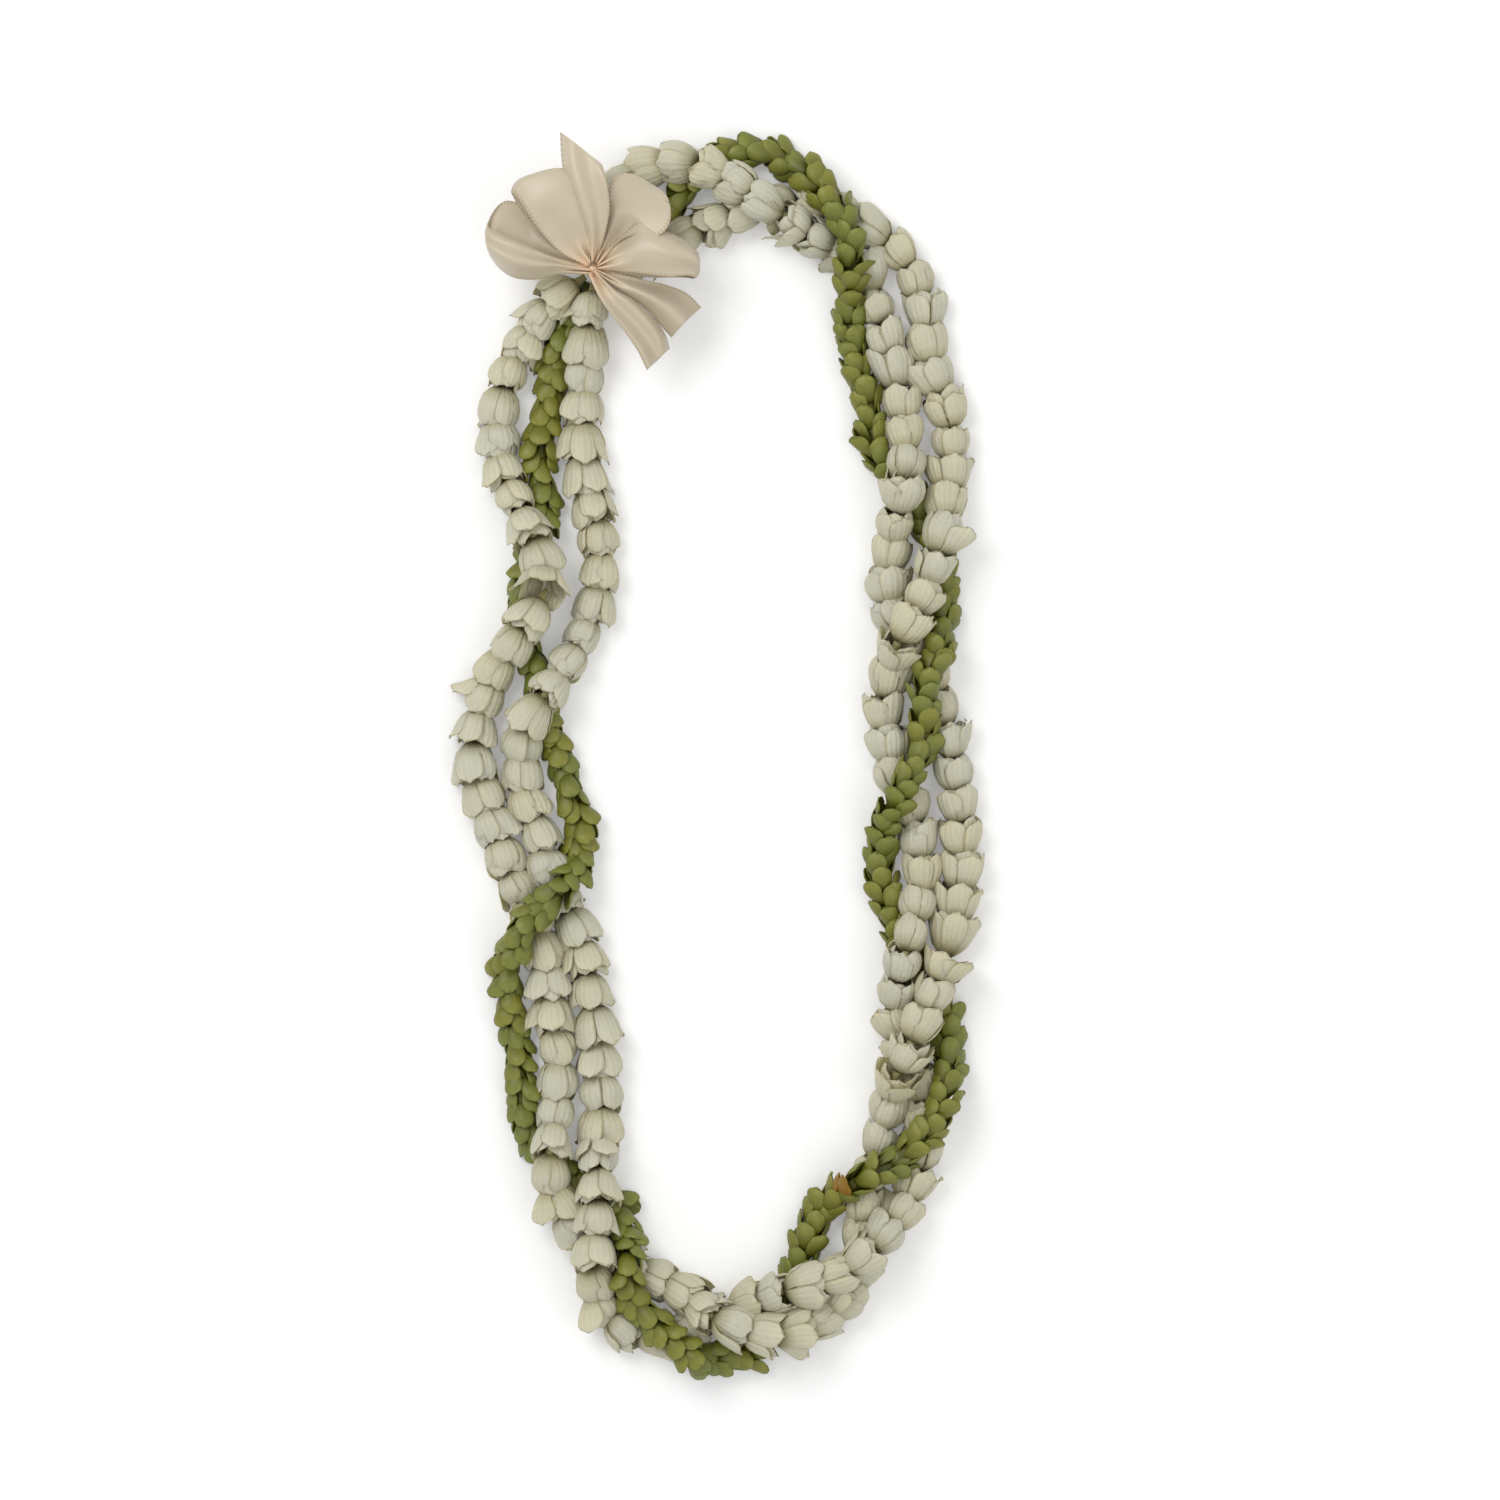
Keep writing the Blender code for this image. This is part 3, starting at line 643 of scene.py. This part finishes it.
# Distances from the gather: where the fine pleats end, the broad folds and the crown begin, and
# the blush ends.
PLEATS_TO = 11
BROAD_FROM = 15
CROWN_FROM = 14
BLUSH_TO = 15
BOW_PIECES = {
    "bow_loop_left": {
        "left": ((-47.4, 179.9), (-60, 180.3), (-67.5, 178.3), (-75.8, 178.6), (-81.5, 181.8),
                 (-84.9, 186.5), (-78, 184.2), (-66, 182.2), (-51.5, 181.6)),
        "right": ((-49.2, 183.1), (-60, 185.8), (-67.5, 188.6), (-75, 191.8), (-81.5, 194.8),
                  (-86.2, 198.5), (-80, 207.5), (-68.5, 202.5), (-51.5, 185.4)),
        "height": (3.9, 4.2, 6.6, 7.9, 6.6, 3.6, 1.2, 0.4, -0.9),
        "bulge": 1.5, "phase": 0.6, "crown": 2.2, "tilt": 0.3,
    },
    "bow_loop_upper_left": {
        "left": ((-48.9, 182.8), (-58.9, 187.8), (-66, 194.6), (-71, 201.6), (-74, 206.6),
                 (-77.6, 210.2), (-72.5, 202), (-61, 191.4), (-50.4, 184.4)),
        "right": ((-47.3, 185.2), (-47.8, 193.4), (-48.8, 203.4), (-50.4, 211), (-51.8, 216),
                  (-55, 217.2), (-51, 208), (-49, 196), (-48.4, 186.4)),
        "height": (4.4, 5.6, 8.6, 10.6, 9.8, 6.6, 3.4, 1.6, -0.4),
        "bulge": 4.0, "phase": 2.4, "crown": 2.6, "tilt": 0.15,
    },
    "bow_loop_upper_right": {
        "left": ((-46.5, 184.6), (-43.4, 193.9), (-41.6, 204.2), (-40.9, 211.8), (-38.6, 216.4),
                 (-35.5, 216), (-38, 206), (-42.4, 194), (-45.8, 186.2)),
        "right": ((-45.3, 183.4), (-37.6, 192), (-30.1, 194.6), (-22.6, 194), (-18.4, 199.4),
                  (-19.6, 207), (-27, 200), (-36.4, 190.2), (-44.4, 184.4)),
        "height": (4.2, 5.0, 8.0, 9.6, 8.8, 5.6, 2.6, 1.0, -0.4),
        "bulge": 2.8, "phase": 4.1, "crown": -2.4, "tilt": 0.0,
    },
    "bow_loop_right": {
        "left": ((-45.6, 183.6), (-37.9, 192.4), (-30.4, 199.2), (-21.4, 196.6), (-12.4, 192.4),
                 (-9.2, 188.4), (-16, 188.6), (-28, 187), (-43.4, 183.4)),
        "right": ((-45.4, 181.8), (-33.6, 180.6), (-25.2, 179.4), (-18.4, 178.6), (-12, 179.2),
                  (-9.4, 178.2), (-14.2, 178.8), (-26.4, 179), (-43.6, 181)),
        "height": (4.4, 6.0, 8.4, 9.0, 7.4, 4.8, 3.0, 1.8, -0.2),
        "bulge": 1.8, "phase": 3.3, "crown": 3.6, "tilt": 0.3,
    },
    "bow_tail_upright": {
        "left": ((-48.2, 184.6), (-50.4, 194.1), (-53, 201), (-55.8, 209.1), (-57.9, 216.6),
                 (-58.9, 224.1), (-59.3, 232.6)),
        "right": ((-46.6, 184.4), (-42.8, 194.1), (-40.9, 203.4), (-41.4, 210.9), (-42.4, 215.6),
                  (-43.1, 218.2), (-43.9, 220.3)),
        "height": (4.6, 7.4, 9.8, 10.6, 10.2, 9.4, 8.2),
        "bulge": 0, "phase": 1.2, "crown": 4.2, "tilt": 0.3,
    },
    "bow_tail_right": {
        "left": ((-46, 182.4), (-37, 180.2), (-27, 177.8), (-19.6, 176.2), (-12.3, 173.2), (-7.1, 168.2)),
        "right": ((-46.6, 181), (-38, 174.4), (-31, 170.2), (-26.3, 166.4), (-22.4, 161.6), (-18, 156.8)),
        "height": (3.4, 3.6, 3.2, 2.2, 0.2, -1.8),
        "bulge": 0, "phase": 2.8, "crown": 3.6, "tilt": 0.2,
    },
    "bow_tail_lower": {
        "left": ((-46.2, 181.2), (-38.4, 174.6), (-31.6, 171), (-25.4, 165), (-20.6, 158.2),
                 (-18.8, 152.6)),
        "right": ((-48.9, 179.9), (-44.9, 171.4), (-40.4, 164.6), (-35.4, 158.2), (-30.6, 151.4),
                  (-27, 144.2)),
        "height": (3.8, 4.6, 4.8, 3.8, 1.4, -1.4),
        "bulge": 0, "phase": 4.3, "crown": 4.6, "tilt": 0.35,
    },
}


def ribbon_piece(name, shape, material):
    """A loop or tail of ribbon, pleated where it is gathered and opening to its full width."""
    lines = np.column_stack([shape["left"], shape["right"], shape["height"]]).astype(float)
    fine = catmull_rom(lines, 12)
    read = read_evenly(fine, distances_along(fine), RIBBON_ROWS)
    left, right, height = read[:, None, 0:2], read[:, None, 2:4], read[:, 4:5]
    v = np.linspace(-1, 1, RIBBON_COLUMNS)[None, :]
    share = ((v + 1) / 2)[..., None]
    plan = left * (1 - share) + right * share
    half = np.linalg.norm(right - left, axis=2) / 2
    middle = (left + right)[:, 0] / 2
    out = middle - np.array(BOW_CENTRE)
    distance = np.linalg.norm(out, axis=1)[:, None]
    out = out / np.maximum(distance, 1e-6)
    far = np.clip(distance / distance.max(), 0, 1)
    plan = plan + (shape["bulge"] * far**4 * (1 - v**4))[..., None] * out[:, None]
    slack = np.sqrt(np.maximum((RIBBON_WIDTH / 2) ** 2 - half**2, 0))
    phase = shape["phase"]
    fine_folds = np.sin(v * 6 + phase + 1.3 * np.sin(v * 2.3 + 2 * phase))
    broad_folds = np.sin(v * 3.6 + 2.2 * phase + distance * 0.03)
    near = np.exp(-((distance / BROAD_FROM) ** 2))
    fine_share = np.exp(-((distance / PLEATS_TO) ** 2))
    folds = slack * (0.15 * fine_folds * fine_share + 0.22 * broad_folds * (1 - near)
                     + shape["tilt"] * v * (1 - near))
    crown = shape["crown"] * (1 - v**2) * np.clip(distance / CROWN_FROM, 0, 1) * (0.4 + 0.6 * far)
    along = distances_along(np.column_stack([middle, height]))
    for deeper in DEEPENING:
        z = BOW_HEIGHT + height + (folds + crown) * deeper
        grid = np.concatenate([plan, z[..., None]], axis=2)
        steps = np.cross(grid[1:, :-1] - grid[:-1, :-1], grid[:-1, 1:] - grid[:-1, :-1])
        kept = np.linalg.norm(steps, axis=2).sum() / (along[-1] * RIBBON_WIDTH)
        if kept > RIBBON_KEPT:
            break
    mesh = Mesh()
    mesh.grid(grid * MM, {
        "blush": np.clip(1 - distance / BLUSH_TO, 0, 1),
        "along_mm": along[:, None],
        "across_mm": half * v,
        "edge": np.abs(v),
    })
    piece = mesh.build(name + "_satin", material, RIBBON_THICKNESS * MM)
    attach(piece, BODY)
    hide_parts(name)


# ---------------------------------------------------------------- floor, light and camera
VIEW_CENTRE = (0.01125, 0.0028)
VIEW_WIDTH = 0.5625
CAMERA_HEIGHT = 2.6
SUBJECT_HEIGHT = 0.008
SENSOR_WIDTH = 36
SKY_LIGHT = 0.62
FLOOR_SIZE = 8
FLOOR_GREY = (0.86, 0.86, 0.86, 1)
FLOOR_GLOW = 0.22
# Each lamp's name, place, size and power; both point at the lei.
LAMPS = (("key", (-0.7, 0.7, 1.3), 0.8, 10), ("fill", (0.9, -0.4, 1.2), 1.2, 4))


def seen_directly(tree):
    """1 for camera, glossy and transmission rays, and 0 for the rays that light the object."""
    path = tree.nodes.new("ShaderNodeLightPath")
    seen = math_node(tree, "MAXIMUM", path.outputs["Is Camera Ray"], path.outputs["Is Glossy Ray"])
    return math_node(tree, "MAXIMUM", seen, path.outputs["Is Transmission Ray"])


def make_floor():
    bpy.ops.mesh.primitive_plane_add(size=FLOOR_SIZE, location=(0, 0, 0))
    floor = bpy.context.object
    floor.name = "floor"
    made, tree, shader = new_material("pale_floor")
    shader.inputs["Base Color"].default_value = FLOOR_GREY
    shader.inputs["Roughness"].default_value = 0.9
    shader.inputs["Specular IOR Level"].default_value = 0.0
    glow = math_node(tree, "MULTIPLY", seen_directly(tree), FLOOR_GLOW)
    shader.inputs["Emission Color"].default_value = (1, 1, 1, 1)
    tree.links.new(glow, shader.inputs["Emission Strength"])
    floor.data.materials.append(made)


def make_world():
    world = bpy.data.worlds.new("studio")
    bpy.context.scene.world = world
    world.use_nodes = True
    tree = world.node_tree
    back = tree.nodes["Background"]
    strength = math_node(tree, "MULTIPLY_ADD", seen_directly(tree), 1 - SKY_LIGHT, SKY_LIGHT)
    tree.links.new(strength, back.inputs["Strength"])
    back.inputs["Color"].default_value = (1, 1, 1, 1)


def add_area(name, place, size, power):
    light = bpy.data.lights.new(name, "AREA")
    light.size = size
    light.energy = power
    lamp = bpy.data.objects.new(name, light)
    lamp.location = place
    lamp.rotation_euler = (-Vector(place)).to_track_quat("-Z", "Y").to_euler()
    bpy.context.scene.collection.objects.link(lamp)


def make_camera():
    data = bpy.data.cameras.new("from_above")
    data.sensor_width = SENSOR_WIDTH
    data.lens = SENSOR_WIDTH * (CAMERA_HEIGHT - SUBJECT_HEIGHT) / VIEW_WIDTH
    camera = bpy.data.objects.new("from_above", data)
    camera.location = (*VIEW_CENTRE, CAMERA_HEIGHT)
    bpy.context.scene.collection.objects.link(camera)
    bpy.context.scene.camera = camera


def main():
    bpy.context.scene.view_settings.view_transform = "Standard"
    make_camera()
    make_floor()
    make_world()
    for lamp in LAMPS:
        add_area(*lamp)
    white = white_petal_material()
    green = green_petal_material()
    satin = satin_material("ivory_satin", 0.0)
    cotton = cotton_material()
    strands = [
        strand("white_outer", WHITE_OUTER, True),
        strand("white_inner", WHITE_INNER, True),
        strand("green", GREEN_MIDDLE, False),
    ]
    for each, route in zip(strands, settled(strands)):
        each["route"] = route
        string_flowers(each, white if each["white"] else green)
    for name, shape in BOW_PIECES.items():
        ribbon_piece(name, shape, satin)
    for node in ("white_outer_thread", "white_inner_thread", "green_thread", "thread_knot",
                 "bow_tie"):
        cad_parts[node].data.materials[0] = cotton
    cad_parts["bow_gather"].data.materials[0] = satin_material("gathered_satin", 1.0)


main()
